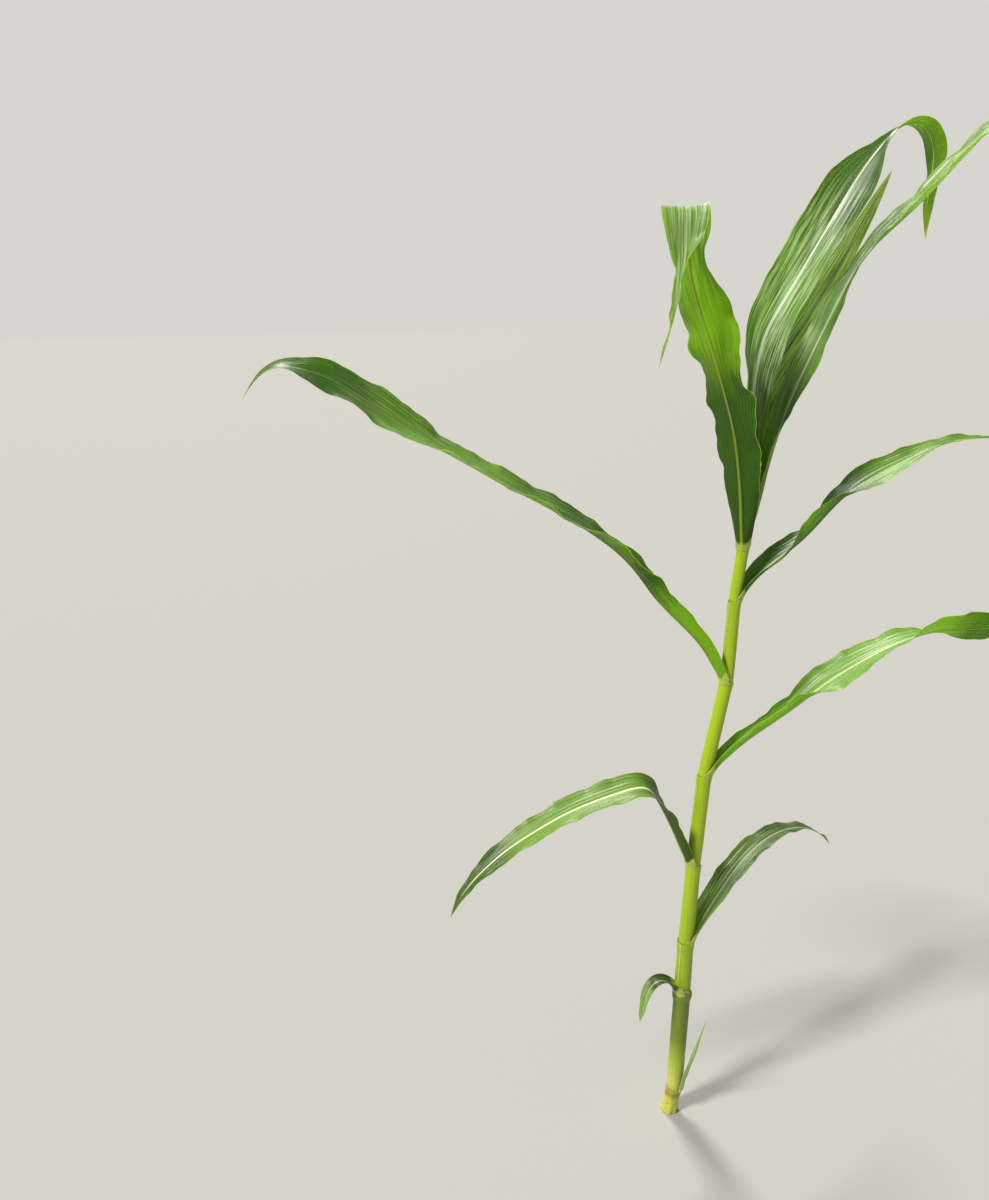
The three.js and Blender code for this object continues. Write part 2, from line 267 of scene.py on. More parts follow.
z = np.arange(0, STALK[-1, 0] + STALK_STEP / 2, STALK_STEP)[:, None]
angle = np.arange(STALK_SIDES) * 2 * math.pi / STALK_SIDES
joint_side = np.where(np.arange(len(STALK)) % 2, 1, -1)
nearest = np.searchsorted(STALK[:, 0], z).clip(1, len(STALK) - 1)
share_up = (z - STALK[nearest - 1, 0]) / (STALK[nearest, 0] - STALK[nearest - 1, 0])
lobes = FOOT_LOBE_DEPTH * np.exp(-z / FOOT_LOBE_REACH) * np.cos(FOOT_LOBES * angle)
rings_up = (STALK[:, 3] > 0) * np.exp(-((z[..., None] - STALK[:, 0] + RING_BELOW) / RING_REACH) ** 2)
groove_up = np.sin(math.pi * share_up) ** 2 * np.clip(z / GROOVE_FADES_BELOW, 0, 1)
groove_round = np.exp(-((np.cos(angle) * joint_side[nearest] - 1) / GROOVE_SPREAD) ** 2)
groove = GROOVE_DEPTH * groove_up * groove_round
reach = stalk_radius(z) + lobes + RING_HEIGHT * rings_up.sum(-1) - groove
reach = reach + RIB_DEPTH * np.cos(RIBS * angle) * np.clip(z / RIBS_FADE_BELOW, 0, 1)
stalk_rings = np.stack([
    stalk_lean(z) + reach * np.cos(angle), reach * np.sin(angle), z + 0 * angle], -1)
stalk_place = np.stack([angle / (2 * math.pi) + 0 * z, z * MM + 0 * angle], -1)

# height in metres and screen colour. The pale yellow foot and the green at the top are the rind's
# own colours; the dark band from 38 to 48 mm is painted shadow, the pale band at 62 mm and the
# brighter green at 110 mm are painted light, and the darker olive at 170 mm is painted shade.
RIND_BANDS_AND_PAINTED_LIGHT = (
    (0.0, (214, 212, 84)), (0.028, (218, 218, 96)), (0.038, (158, 154, 58)), (0.048, (146, 148, 50)),
    (0.062, (200, 208, 100)), (0.11, (162, 178, 58)), (0.17, (112, 134, 38)), (1.14, (140, 176, 30)))
BAND_WANDER = 0.02
RIND_SPECKS = (82, 58, 38)
SPECKS_REACH = 0.09
RIND_STREAKS = (120, 140, 50)
RIND_STREAKS_SHARE = 0.5
# stretch along the three axes, scale, and fineness where it isn't the usual one
STREAKS_GRAIN = ((1, 1, 0.06), 420)
BLOTCHES_GRAIN = ((1, 1, 0.5), 45)
SPECKS_GRAIN = ((1, 1, 1), 380, 6)
# where the noise starts to be a speck, and where it is a whole one
SPECKS_RANGE = (0.56, 0.68)
# values of the streaks that would be fully glossy and fully dull
RIND_DULLNESS = (-0.6, 1.8)
RIND_RELIEF = 0.0006

rind, rind_tree, rind_shader = new_finish(
    "stalk_rind", Subsurface_Weight=0.15, Subsurface_Scale=GLOW_DEPTH,
    Subsurface_Radius=(0.8, 1.0, 0.3), Coat_Roughness=0.3)
rind_place = put_node(rind_tree, "TexCoord").outputs["Object"]
rind_height = put_node(rind_tree, "SeparateXYZ", {"Vector": rind_place}).outputs["Z"]
rind_streaks = grain(rind_tree, rind_place, *STREAKS_GRAIN)
rind_blotches = grain(rind_tree, rind_place, *BLOTCHES_GRAIN)
unevenness = calculate(rind_tree, "SUBTRACT", rind_blotches, 0.5)
wandering = calculate(rind_tree, "MULTIPLY", unevenness, BAND_WANDER)
# the rind's colour by height, with painted shadow, painted light and painted shade in its bands
rind_bands_and_painted_light = height_colours(rind_tree, calculate(rind_tree, "ADD", rind_height, wandering), *RIND_BANDS_AND_PAINTED_LIGHT)
specks = fade(rind_tree, grain(rind_tree, rind_place, *SPECKS_GRAIN), *SPECKS_RANGE)
low_down = fade(rind_tree, rind_height, SPECKS_REACH, 0.0)
rind_specked = paint(rind_tree, calculate(rind_tree, "MULTIPLY", specks, low_down), rind_bands_and_painted_light,
                     screen(*RIND_SPECKS))
rind_shade = calculate(rind_tree, "MULTIPLY", rind_streaks, RIND_STREAKS_SHARE)
rind_dark = paint(rind_tree, rind_shade, rind_specked, screen(*RIND_STREAKS), "MULTIPLY")
rind_tree.links.new(rind_dark, rind_shader.inputs["Base Color"])
rind_tree.links.new(fade(rind_tree, rind_streaks, *RIND_DULLNESS), rind_shader.inputs["Roughness"])
relief(rind_tree, rind_shader, rind_streaks, RIND_RELIEF, 0.6)

stalk = closed_skin("stalk_skin", stalk_rings, stalk_place, [rind])
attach(stalk, "root")
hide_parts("stalk")

# Sheaths
# Each leaf starts as a sheath, a ribbed sheet rolled once and a bit round the stalk. Its two
# margins overlap on the side away from its blade, and its foot comes out of the sheath below.

# leaf number, and the compass heading of its blade in degrees with 0 to the right
BLADE_HEADINGS = {2: 200, 3: 20, 4: 190, 5: 0, 6: 190, 7: 8, 8: 240, 9: -4}
# leaf number, and the height of its collar
COLLARS = {1: 52, 2: 256, 3: 356, 4: 505, 5: 667, 6: 829, 7: 961, 8: 1044, 9: 1090}
SHEATH_STEP = 4
LEAST_ROWS = 8
SHEATH_COLUMNS = 133
SHEATH_OVERLAP = 50
SHEATH_THICKNESS = 0.55
SHEATH_OFF = 1.0
ROLL_STEP = 0.75
TUCK = 9
TUCK_IN = 0.75
TUCK_REACH = 30
MOUTH_FLARE = 1.1
MOUTH_REACH = 14
MOUTH_BELOW_COLLAR = 0.5
SEAM_DROP = 7
# degrees from the keel where the mouth starts to drop towards the seam, and where it is lowest
SEAM_DROP_TURN = (95, 180)
KEEL_HEIGHT = 0.7
KEEL_SPREAD = 11
# shares of the sheath's height where the keel starts and where it is whole
KEEL_RISE = (0.2, 1)
SHEATH_RIBS = 34
SHEATH_RIB_DEPTH = 0.09
# how far veins wander across, and how sharply each kind stands out
VEIN_WANDER = 0.012
VEIN_SHARPNESS = (("Bold", 5), ("Fine", 2))
STREAK_LENGTHS = 9
STREAK_SCALE = 1.6
# shares of the fine veins, the bold veins and the streaks in the relief
FINE_SHARE = 0.35
BOLD_SHARE = 0.65
STREAK_SHARE = 0.5


def smooth(value, start, end):
    """0 before start and 1 after end, with the curve 3 s squared - 2 s cubed between them."""
    s = np.clip((value - start) / (end - start), 0, 1)
    return s * s * (3 - 2 * s)


def sheet_rings(face, thickness):
    """Rings round a thin sheet: along its face, then back along the other side, which lies
    thickness behind the face along the cross product of the steps across and along it."""
    along = np.gradient(face, axis=0)
    across = np.gradient(face, axis=1)
    outward = np.cross(across, along)
    outward /= np.maximum(np.linalg.norm(outward, axis=-1, keepdims=True), 1e-9)
    back = face - outward * np.broadcast_to(thickness, face.shape[:2])[..., None]
    return np.concatenate([face, back[:, -2:0:-1]], 1)


def there_and_back(values):
    """Numbers of a sheet's face, repeated in the order of its rings."""
    return np.concatenate([values, values[:, -2:0:-1]], 1)


def around_stalk(radius, turn_to, height):
    """Points at a radius and a compass angle from the stalk's middle at their height."""
    return np.stack([stalk_lean(height) + radius * np.cos(turn_to), radius * np.sin(turn_to), height], -1)


def sheath_face(number):
    """The sheath's outer face. Its radius is the stalk's plus a wall, plus a share of one roll
    step that grows with the angle, so the outer margin lies over the inner one. The foot is tucked
    in and the mouth flares, each with a smooth step, and the keel above the blade's heading is a
    bell curve of the angle. The ribs are a cosine wave round the roll."""
    low, high = COLLARS[number - 1], COLLARS[number]
    u = np.linspace(0, 1, SHEATH_COLUMNS)
    seam = BLADE_HEADINGS[number] + 180
    turn_to = np.radians(seam - SHEATH_OVERLAP / 2 + u * (360 + SHEATH_OVERLAP))
    from_keel = (np.degrees(turn_to) - BLADE_HEADINGS[number] + 180) % 360 - 180
    rows = max(LEAST_ROWS, round((high - low + TUCK) / SHEATH_STEP))
    v = np.linspace(0, 1, rows)[:, None]
    top = high - MOUTH_BELOW_COLLAR - SEAM_DROP * smooth(np.abs(from_keel), *SEAM_DROP_TURN)
    height = low - TUCK + (top - low + TUCK) * v
    radius = stalk_radius(height) + SHEATH_OFF + ROLL_STEP * (u - 0.5)
    radius -= TUCK_IN * (1 - smooth(height, low - TUCK, low + TUCK_REACH))
    radius += MOUTH_FLARE * smooth(height, high - MOUTH_REACH, high)
    radius += KEEL_HEIGHT * np.exp(-(from_keel / KEEL_SPREAD) ** 2) * smooth(v, *KEEL_RISE)
    radius += SHEATH_RIB_DEPTH * np.cos(2 * math.pi * SHEATH_RIBS * u)
    face = around_stalk(radius, turn_to, height)
    return face, u + 0 * v, (height - low) * MM


def length_veins():
    """Parallel veins as a node group. A triangle wave of the place across, sharpened by a power,
    gives bold and fine veins, and noise drawn out along the surface gives the streaks."""
    group = bpy.data.node_groups.new("length_veins", "ShaderNodeTree")
    for name, kind in (("Place", "Vector"), ("Bold Veins", "Float"), ("Fine Veins", "Float")):
        group.interface.new_socket(name, in_out="INPUT", socket_type="NodeSocket" + kind)
    for name in ("Bold", "Fine", "Streaks", "Height"):
        group.interface.new_socket(name, in_out="OUTPUT", socket_type="NodeSocketFloat")
    given = group.nodes.new("NodeGroupInput").outputs
    result = group.nodes.new("NodeGroupOutput").inputs
    place = put_node(group, "SeparateXYZ", {"Vector": given["Place"]}).outputs
    wander = grain(group, given["Place"], (3, 9, 1), 1)
    across = calculate(group, "MULTIPLY_ADD", wander, VEIN_WANDER, place["X"])
    ridges = {}
    for name, sharp in VEIN_SHARPNESS:
        count = calculate(group, "MULTIPLY", across, given[name + " Veins"])
        gap = calculate(group, "MULTIPLY", calculate(group, "PINGPONG", count, 0.5), 2)
        ridges[name] = calculate(group, "POWER", calculate(group, "SUBTRACT", 1, gap), sharp)
        group.links.new(ridges[name], result[name])
    drawn = put_node(group, "CombineXYZ", {
        "X": calculate(group, "MULTIPLY", across, given["Bold Veins"]),
        "Y": calculate(group, "MULTIPLY", place["Y"], STREAK_LENGTHS)}).outputs[0]
    noise = put_node(group, "TexNoise", {"Vector": drawn, "Scale": STREAK_SCALE, "Detail": 3})
    streaks = noise.outputs["Fac"]
    group.links.new(streaks, result["Streaks"])
    fine_part = calculate(group, "MULTIPLY", ridges["Fine"], FINE_SHARE)
    both = calculate(group, "MULTIPLY_ADD", ridges["Bold"], BOLD_SHARE, fine_part)
    group.links.new(calculate(group, "MULTIPLY_ADD", streaks, STREAK_SHARE, both), result["Height"])
    return group


veins = length_veins()

# height in metres and screen colour. The dark band at 45 mm is painted shadow, the pale band at
# 62 mm and the brighter green at 110 mm are painted light, the dark olive from 160 to 250 mm is
# painted shade, and from 270 mm up is the sheaths' own lime green.
SHEATH_BANDS_AND_PAINTED_LIGHT = (
    (0.045, (156, 154, 58)), (0.062, (204, 210, 102)), (0.11, (166, 184, 60)), (0.16, (104, 128, 30)),
    (0.25, (100, 128, 26)), (0.27, (150, 178, 22)), (0.5, (166, 196, 8)), (1.1, (168, 200, 6)))
SHEATH_VEIN = (208, 220, 70)
SHEATH_VEIN_SHARE = 0.22
SHEATH_STREAK = (104, 144, 10)
SHEATH_STREAK_SHARE = 0.4
# values of the streaks where they start to show and where they are whole
SHEATH_STREAK_RANGE = (0.45, 0.75)
SHEATH_DULLNESS = (-0.5, 1.6)
PAPERY_MARGIN = (222, 224, 160)
# shares of the way round where the papery outer margin starts and where it is whole
PAPERY_EDGE = (0.982, 0.992)
SHEATH_RELIEF = 0.0004

sheath_green, sheath_tree, sheath_shader = new_finish(
    "sheath_green", Subsurface_Weight=0.15, Subsurface_Scale=GLOW_DEPTH,
    Subsurface_Radius=(0.8, 1.0, 0.15), Coat_Roughness=0.25)
sheath_uv = put_node(sheath_tree, "UVMap", uv_map="surface").outputs["UV"]
sheath_veins = put_node(sheath_tree, "Group", {
    "Place": sheath_uv, "Bold Veins": SHEATH_RIBS, "Fine Veins": 4 * SHEATH_RIBS}, node_tree=veins)
sheath_place = put_node(sheath_tree, "TexCoord").outputs["Object"]
sheath_height = put_node(sheath_tree, "SeparateXYZ", {"Vector": sheath_place}).outputs["Z"]
# the sheaths' colour by height, with painted shadow, painted light and painted shade low down
sheath_bands_and_painted_light = height_colours(sheath_tree, sheath_height, *SHEATH_BANDS_AND_PAINTED_LIGHT)
sheath_pale = calculate(sheath_tree, "MULTIPLY", sheath_veins.outputs["Bold"], SHEATH_VEIN_SHARE)
sheath_ribbed = paint(sheath_tree, sheath_pale, sheath_bands_and_painted_light, screen(*SHEATH_VEIN))
sheath_streaks = fade(sheath_tree, sheath_veins.outputs["Streaks"], *SHEATH_STREAK_RANGE)
sheath_shade = calculate(sheath_tree, "MULTIPLY", sheath_streaks, SHEATH_STREAK_SHARE)
sheath_streaked = paint(sheath_tree, sheath_shade, sheath_ribbed, screen(*SHEATH_STREAK))
sheath_across = put_node(sheath_tree, "SeparateXYZ", {"Vector": sheath_uv}).outputs["X"]
sheath_papery = paint(sheath_tree, fade(sheath_tree, sheath_across, *PAPERY_EDGE), sheath_streaked,
                      screen(*PAPERY_MARGIN))
sheath_tree.links.new(sheath_papery, sheath_shader.inputs["Base Color"])
sheath_dull = fade(sheath_tree, sheath_veins.outputs["Streaks"], *SHEATH_DULLNESS)
sheath_tree.links.new(sheath_dull, sheath_shader.inputs["Roughness"])
relief(sheath_tree, sheath_shader, sheath_veins.outputs["Height"], SHEATH_RELIEF, 0.6)

for number in BLADE_HEADINGS:
    face, around, along = sheath_face(number)
    place = there_and_back(np.stack([around, along], -1))
    sheath = closed_skin(
        f"sheath_{number:02d}_roll", sheet_rings(face, SHEATH_THICKNESS), place, [sheath_green])
    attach(sheath, "root")
    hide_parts(f"sheath_{number:02d}")

# Ligules
# A thin papery membrane stands inside each collar and hugs the stem, which keeps rain out of the
# sheath. It grows out of the sheath's mouth, and its upper edge is ragged.
LIGULE_SPREAD = 118
LIGULE_COLUMNS = 97
LIGULE_ROWS = 9
LIGULE_ROOT = 5
LIGULE_EDGE = 1
LIGULE_RISE = 6
LIGULE_WALL = 0.22
LIGULE_OFF = 1.2
LIGULE_LEAN = 0.5
# the ragged edge's mean share of the rise, and the frequency and share of its two waves
RAGGED_MEAN = 0.8
RAGGED_WAVES = ((17, 0.13), (43, 0.07))
LIGULE_GREEN = (186, 204, 104)
LIGULE_PAPER = (226, 222, 184)
LIGULE_STREAK = (176, 160, 108)
LIGULE_STREAK_SHARE = 0.4
LIGULE_DULLNESS = (-0.6, 1.2)
# heights above the collar in metres where the green starts to pale and where it is papery
LIGULE_PALING = (0.001, 0.007)
LIGULE_VEINS = 40
LIGULE_RELIEF = 0.0002


def ligule_face(number):
    """The membrane's outer face: a band round the stem that reaches over 118 degrees to each side
    of the blade. Its height is the rise times 1 - u to the fourth, ragged by two sine waves."""
    u = np.linspace(-1, 1, LIGULE_COLUMNS)
    v = np.linspace(0, 1, LIGULE_ROWS)[:, None]
    turn_to = np.radians(BLADE_HEADINGS[number] + LIGULE_SPREAD * u)
    (slow, slow_share), (quick, quick_share) = RAGGED_WAVES
    waves = slow_share * np.sin(slow * u + number) + quick_share * np.sin(quick * u + 2 * number)
    reach = LIGULE_ROOT + LIGULE_EDGE + LIGULE_RISE * (RAGGED_MEAN + waves) * (1 - u ** 4)
    height = COLLARS[number] - LIGULE_ROOT + v * reach
    radius = stalk_radius(height) + LIGULE_OFF + LIGULE_LEAN * v ** 2
    face = around_stalk(radius, turn_to, height)
    return face, u / 2 + 0.5 + 0 * v, (height - COLLARS[number]) * MM


ligule_skin, ligule_tree, ligule_shader = new_finish(
    "ligule_skin", Subsurface_Weight=0.5, Subsurface_Scale=GLOW_DEPTH)
ligule_uv = put_node(ligule_tree, "UVMap", uv_map="surface").outputs["UV"]
ligule_veins = put_node(ligule_tree, "Group", {
    "Place": ligule_uv, "Bold Veins": LIGULE_VEINS, "Fine Veins": 3 * LIGULE_VEINS}, node_tree=veins)
ligule_up = put_node(ligule_tree, "SeparateXYZ", {"Vector": ligule_uv}).outputs["Y"]
ligule_base = paint(ligule_tree, fade(ligule_tree, ligule_up, *LIGULE_PALING), screen(*LIGULE_GREEN),
                    screen(*LIGULE_PAPER))
ligule_streaks = calculate(
    ligule_tree, "MULTIPLY", ligule_veins.outputs["Streaks"], LIGULE_STREAK_SHARE)
ligule_streaked = paint(ligule_tree, ligule_streaks, ligule_base, screen(*LIGULE_STREAK))
ligule_tree.links.new(ligule_streaked, ligule_shader.inputs["Base Color"])
ligule_dull = fade(ligule_tree, ligule_veins.outputs["Streaks"], *LIGULE_DULLNESS)
ligule_tree.links.new(ligule_dull, ligule_shader.inputs["Roughness"])
relief(ligule_tree, ligule_shader, ligule_veins.outputs["Height"], LIGULE_RELIEF, 0.5)

for number in range(2, 9):
    face, around, along = ligule_face(number)
    place = there_and_back(np.stack([around, along], -1))
    ligule = closed_skin(f"ligule_{number:02d}", sheet_rings(face, LIGULE_WALL), place, [ligule_skin])
    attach(ligule, "root")

# Blades
# A maize blade is a long ribbon with a pale midrib, parallel veins and a ruffled margin. It grows
# out of its sheath's collar, wraps the stem there, and arches over under its own weight.

# Each row of way starts with its place in hundredths of the blade's length, and gives the pitch
# above level, compass heading, roll, and cup of the margins there, in degrees. Each of the pinches
# is a place, a reach and the share of the width left. widest is the share of the length where the
# blade is broadest, and foot is the radius that a whorl leaf wraps. Each row of the tone table is a
# place in hundredths, how much brighter its green is, and its share of painted sheen. That
# brightening and darkening is partly the leaf's own paleness and mostly painted light and painted
# shade along the blade. rib is the midrib's paleness, and each lobe of a margin is a place, a reach,
# millimetres and a side. Places and reaches of pinches and lobes are shares of the length.
LEAVES = [
    dict(number=1, collar=52, length=170, width=14, ruffle=0.5, age="young",
         rib=0.3, tone_and_painted_light=[[0, 0.2, 4], [100, 0.2, 2.5]], lobes=[(0.1, 0.35, 4.5, 1), (0.1, 0.35, 4.5, -1)],
         way=[[0, 80, -20, 0, 50], [33.3, 74, -45, 0, 50], [66.7, 77, -50, 0, 40], [100, 72, -50, 0, 30]]),
    dict(number=2, collar=256, length=125, width=28, ruffle=1, age="low",
         rib=0.5, tone_and_painted_light=[[0, -0.2, 0], [45, -0.15, 0], [55, 0.1, 0.7], [100, 0.15, 0.7]],
         way=[[0, 70, 200, 0, 75], [25, 30, 200, 0, 40], [50, -50, 205, 0, 30],
              [75, -72, 215, 0, 30], [100, -66, 230, 0, 20]]),
    dict(number=3, collar=356, length=430, width=50, ruffle=2, age="low",
         rib=0.5, tone_and_painted_light=[[0, 0.1, 0.3], [30, 0, 0.3], [100, -0.1, 0.2]],
         way=[[0, 66, 20, 0, 85], [20, 35, 40, 0, 50], [40, 20, 40, 0, 30], [60, 0, 35, 0, 25],
              [80, -25, 30, 0, 25], [100, -55, 30, 0, 20]]),
    dict(number=4, collar=505, length=560, width=62, ruffle=2, age="low",
         rib=0.95, tone_and_painted_light=[[0, -0.25, 0], [26, -0.2, 0], [34, 0.2, 0.15], [60, 0.18, 0.2], [85, -0.1, 0],
                         [100, -0.15, 0]],
         way=[[0, 72, 190, 0, 85], [10, 68, 194, 3, 50], [18, 64, 197, 6, 35], [24, 59, 196, 12, 30],
              [28, 44, 194, 16, 25], [31, 12, 193, 16, 25], [35, -8, 192, 14, 22], [42, -13, 192, 12, 22],
              [50, -18, 192, 12, 22], [60, -26, 192, 14, 20], [70, -30, 192, 20, 20],
              [78, -38, 192, 28, 20], [85, -44, 192, 28, 20], [92, -55, 194, 24, 20],
              [100, -68, 198, 15, 20]]),
    dict(number=5, collar=667, length=740, width=70, ruffle=2.2, age="middle",
         pinches=[(0.17, 0.1, 0.68)],
         rib=0.6, tone_and_painted_light=[[0, 0.15, 0.1], [45, 0.25, 0.25], [58, 0.15, 0.2], [64, -0.15, 0], [100, -0.1, 0]],
         way=[[0, 56, 0, 0, 85], [7, 44, 0, 0, 100], [14, 37, 0, 0, 115], [22, 38, 0, 2, 110],
              [27, 40, 0, -4, 80], [32, 36, 0, -22, 25], [40, 31, 0, -8, 25], [46, 26, 0, 0, 30],
              [52, 18, 0, 14, 40], [58, 4, 0, 45, 35], [65, 0, 0, 66, 20], [72, -3, 0, 66, 20],
              [86, -18, 0, 58, 20], [100, -42, 0, 30, 20]]),
    dict(number=6, collar=829, length=895, width=84, widest=0.62, ruffle=1.6, age="middle",
         rib=0.35, tone_and_painted_light=[[0, 0.4, 0], [14, 0.25, 0], [24, -0.12, 0], [40, 0, 0.2], [75, 0.1, 0.4],
                         [86, -0.2, 0], [100, -0.25, 0]],
         way=[[0, 66, 190, 0, 85], [5, 60, 190, 0, 85], [9, 50, 190, 0, 95], [13, 46, 190, -4, 100],
              [18, 48, 190, -2, 100], [23, 55, 190, 4, 90], [27, 50, 190, 10, 55], [31, 42, 190, 4, 40],
              [35, 37, 190, 2, 40], [40, 33, 190, 14, 25], [47, 30, 190, 8, 30], [55, 31, 190, 12, 25],
              [60, 31, 190, 8, 25], [65, 32, 190, 10, 25], [70, 34, 190, 24, 25], [75, 38, 190, 38, 20],
              [80, 35, 190, 34, 20], [84, 29, 190, 46, 15], [88, 18, 190, 46, 20], [91, 8, 190, 25, 25],
              [94, -25, 190, 10, 30], [97, -48, 190, 5, 30], [100, -55, 190, 0, 30]]),
    dict(number=7, collar=961, length=520, width=60, ruffle=1.8, age="middle",
         rib=0.45, tone_and_painted_light=[[0, -0.2, 0], [20, 0, 0], [30, 0.1, 0.2], [42, -0.2, 0], [56, 0.1, 0.1],
                         [100, -0.05, 0.1]],
         way=[[0, 62, 8, 0, 85], [8, 46, 9, -6, 75], [16, 35, 9, -12, 60], [23, 40, 8, 18, 60],
              [31, 48, 7, 32, 50], [38, 44, 7, 20, 50], [44, 34, 8, -5, 30], [52, 27, 8, -22, 25],
              [60, 24, 7, -18, 25], [67, 24, 7, -6, 30], [75, 12, 6, -2, 30], [85, 0, 6, 0, 30],
              [100, -16, 5, 20, 20]]),
    dict(number=8, collar=1044, length=717, width=82, ruffle=3.4, age="middle",
         pinches=[(0.9, 0.09, 0.42)],
         rib=0.55, tone_and_painted_light=[[0, -0.25, 0], [30, -0.2, 0], [48, 0.05, 0], [62, 0.15, 0.3], [70, 0.25, 1.3],
                         [100, 0.1, 0.9]],
         lobes=[(0.45, 0.03, 6, -1), (0.385, 0.03, -6, -1), (0.32, 0.018, 8, -1), (0.43, 0.02, 6, 1),
                (0.37, 0.02, -5, 1)],
         way=[[0, 82, 240, 0, 85], [10, 77, 236, 0, 40], [20, 74, 225, 0, 15], [30, 68, 212, -4, 12],
              [40, 67, 206, -8, 15], [50, 66, 202, -34, 50], [60, 80, 200, -54, 105],
              [66, 84, 212, -50, 40], [70, 5, 262, 0, 6], [74, -84, 262, 0, 10], [81, -79, 225, 0, 75],
              [89, -76, 205, 0, 90], [100, -70, 196, 0, 50]]),
    dict(number=9, collar=1090, length=760, width=54, widest=0.5, foot=11, ruffle=1.4, age="young",
         pinches=[(0.49, 0.05, 0.35)],
         rib=0.45, tone_and_painted_light=[[0, 0.05, 0.2], [45, -0.15, 0.3], [55, 0, 0.6], [80, 0.05, 0.7], [100, 0.1, 0.5]],
         way=[[0, 84, -14, 0, 54], [14, 76, -6, -10, 50], [29, 67, -2, -44, 40], [38, 66, 0, -22, 30],
              [48, 60, -2, -30, 60], [54, 46, -6, -14, 50], [71, 49, -10, -10, 50], [86, 36, -10, -15, 30],
              [100, -14, -4, 0, 20]]),
    dict(number=10, collar=1106, length=779, width=84, widest=0.52, foot=4.2, ruffle=1.8, age="young",
         pinches=[(0.728, 0.068, 0.19)],
         rib=0.85, tone_and_painted_light=[[0, -0.1, 0.1], [24, 0, 1.2], [54, -0.05, 1.2], [64, -0.25, 0.1], [72, -0.2, 0],
                         [76, 0.05, 0], [82, -0.2, 0], [92, -0.3, 0], [100, -0.05, 0]],
         way=[[0, 86, 84, 0, 100], [12.5, 78, 90, -10, 100], [24, 79, 50, -60, 60], [36.5, 61, 6, -56, 50],
              [49, 60, 4, -50, 50], [60.5, 58, 8, -52, 44], [68, 50, 10, -46, 34], [72.5, 42, 12, -20, 40],
              [77, 5, 14, 16, 30], [81, -45, 16, 8, 25], [85, -80, 20, -3, 20], [100, -84, 24, -3, 20]]),
    dict(number=11, collar=1096, length=525, width=62, widest=0.46, foot=7, ruffle=0.9, age="young",
         pinches=[(0.78, 0.22, 0.68)],
         rib=0.3, tone_and_painted_light=[[0, -0.2, 0.1], [40, -0.1, 0.8], [60, -0.05, 1.2], [80, 0, 2], [100, 0.1, 2]],
         lobes=[(0.22, 0.08, 6, 1)],
         way=[[0, 83, 88, 0, 75], [10, 74, 86, -8, 100], [20, 71, 68, -36, 80], [33, 65, 24, -70, 50],
              [50, 58, 4, -82, 40], [65, 60, 0, -84, 30], [80, 62, 0, -84, 25], [100, 63, 0, -84, 25]]),
]
WIDEST = 0.4
TAPER = 0.85
POINT_HALF = 0.2
# how far a sheathed blade's foot stands off the stalk, and how far above the collar it starts
BLADE_OFF = 3.2
SEAT = 1
LEAST_CUP = 0.02
PATH_STEPS = 400
BLADE_STEP = 3.2
BLADE_COLUMNS = 81
# the foot runs down behind the collar, inside the sheath's mouth or round the spindle
FOOT_ROWS = 9
FOOT_DEPTH = 7
FOOT_IN_MOUTH = 0.5
FOOT_IN_WHORL = 1
# radians per millimetre of bending that halve the ruffle, channel and pleats
SHARP_BEND = 0.018
# shares of the length from the foot, and from the point, over which those three grow
GROWTH_FROM_FOOT = (0.02, 0.2)
GROWTH_FROM_POINT = (0, 0.12)
CHANNEL_DEPTH = 1.1
CHANNEL_SPREAD = 2.6
# pleats over the whole width, their depth in millimetres and their shift
PLEATS = ((10, 0.16, 0.4), (4.5, 0.24, 1.3))
# wave length in millimetres and share of the leaf's ruffle
RUFFLES = ((74, 1.0), (41, 0.5), (23, 0.22))
# shares of the half-width over which the ruffle and a lobe grow
RUFFLE_SPREAD = (0.35, 1.1)
LOBE_SPREAD = (0.1, 1)
chance = np.random.default_rng(11)


def through_rows(rows, t):
    """Smooth curve through rows that each start with their place in hundredths of the length. At a
    row the slope is that of the parabola through it and its neighbours, and between two rows runs
    the cubic with their values and slopes."""
    rows = np.asarray(rows, float)
    place, rows = rows[:, 0] / 100, rows[:, 1:]
    gap = np.diff(place)[:, None]
    climb = np.diff(rows, axis=0) / gap
    inner = (gap[:-1] * climb[1:] + gap[1:] * climb[:-1]) / (gap[:-1] + gap[1:])
    slope = np.vstack([climb[:1], inner, climb[-1:]])
    i = (np.searchsorted(place, t, "right") - 1).clip(0, len(place) - 2)
    f = ((t - place[i]) / (place[i + 1] - place[i]))[:, None]
    low = (1 + 2 * f) * rows[i] + f * gap[i] * slope[i]
    high = (3 - 2 * f) * rows[i + 1] + (f - 1) * gap[i] * slope[i + 1]
    return (1 - f) ** 2 * low + f ** 2 * high


def blade_axes(pitch, heading, roll):
    """Unit vectors along the blade, across it and out of its upper side: the level frame of the
    heading is tipped up by the pitch, then turned about its own length by the roll."""
    level = np.zeros_like(pitch)
    along = np.stack([np.cos(pitch) * np.cos(heading), np.cos(pitch) * np.sin(heading), np.sin(pitch)], -1)
    up = np.stack([-np.sin(pitch) * np.cos(heading), -np.sin(pitch) * np.sin(heading), np.cos(pitch)], -1)
    side = np.stack([np.sin(heading), -np.cos(heading), level], -1)
    cos_roll, sin_roll = np.cos(roll)[:, None], np.sin(roll)[:, None]
    return along, side * cos_roll + up * sin_roll, up * cos_roll - side * sin_roll


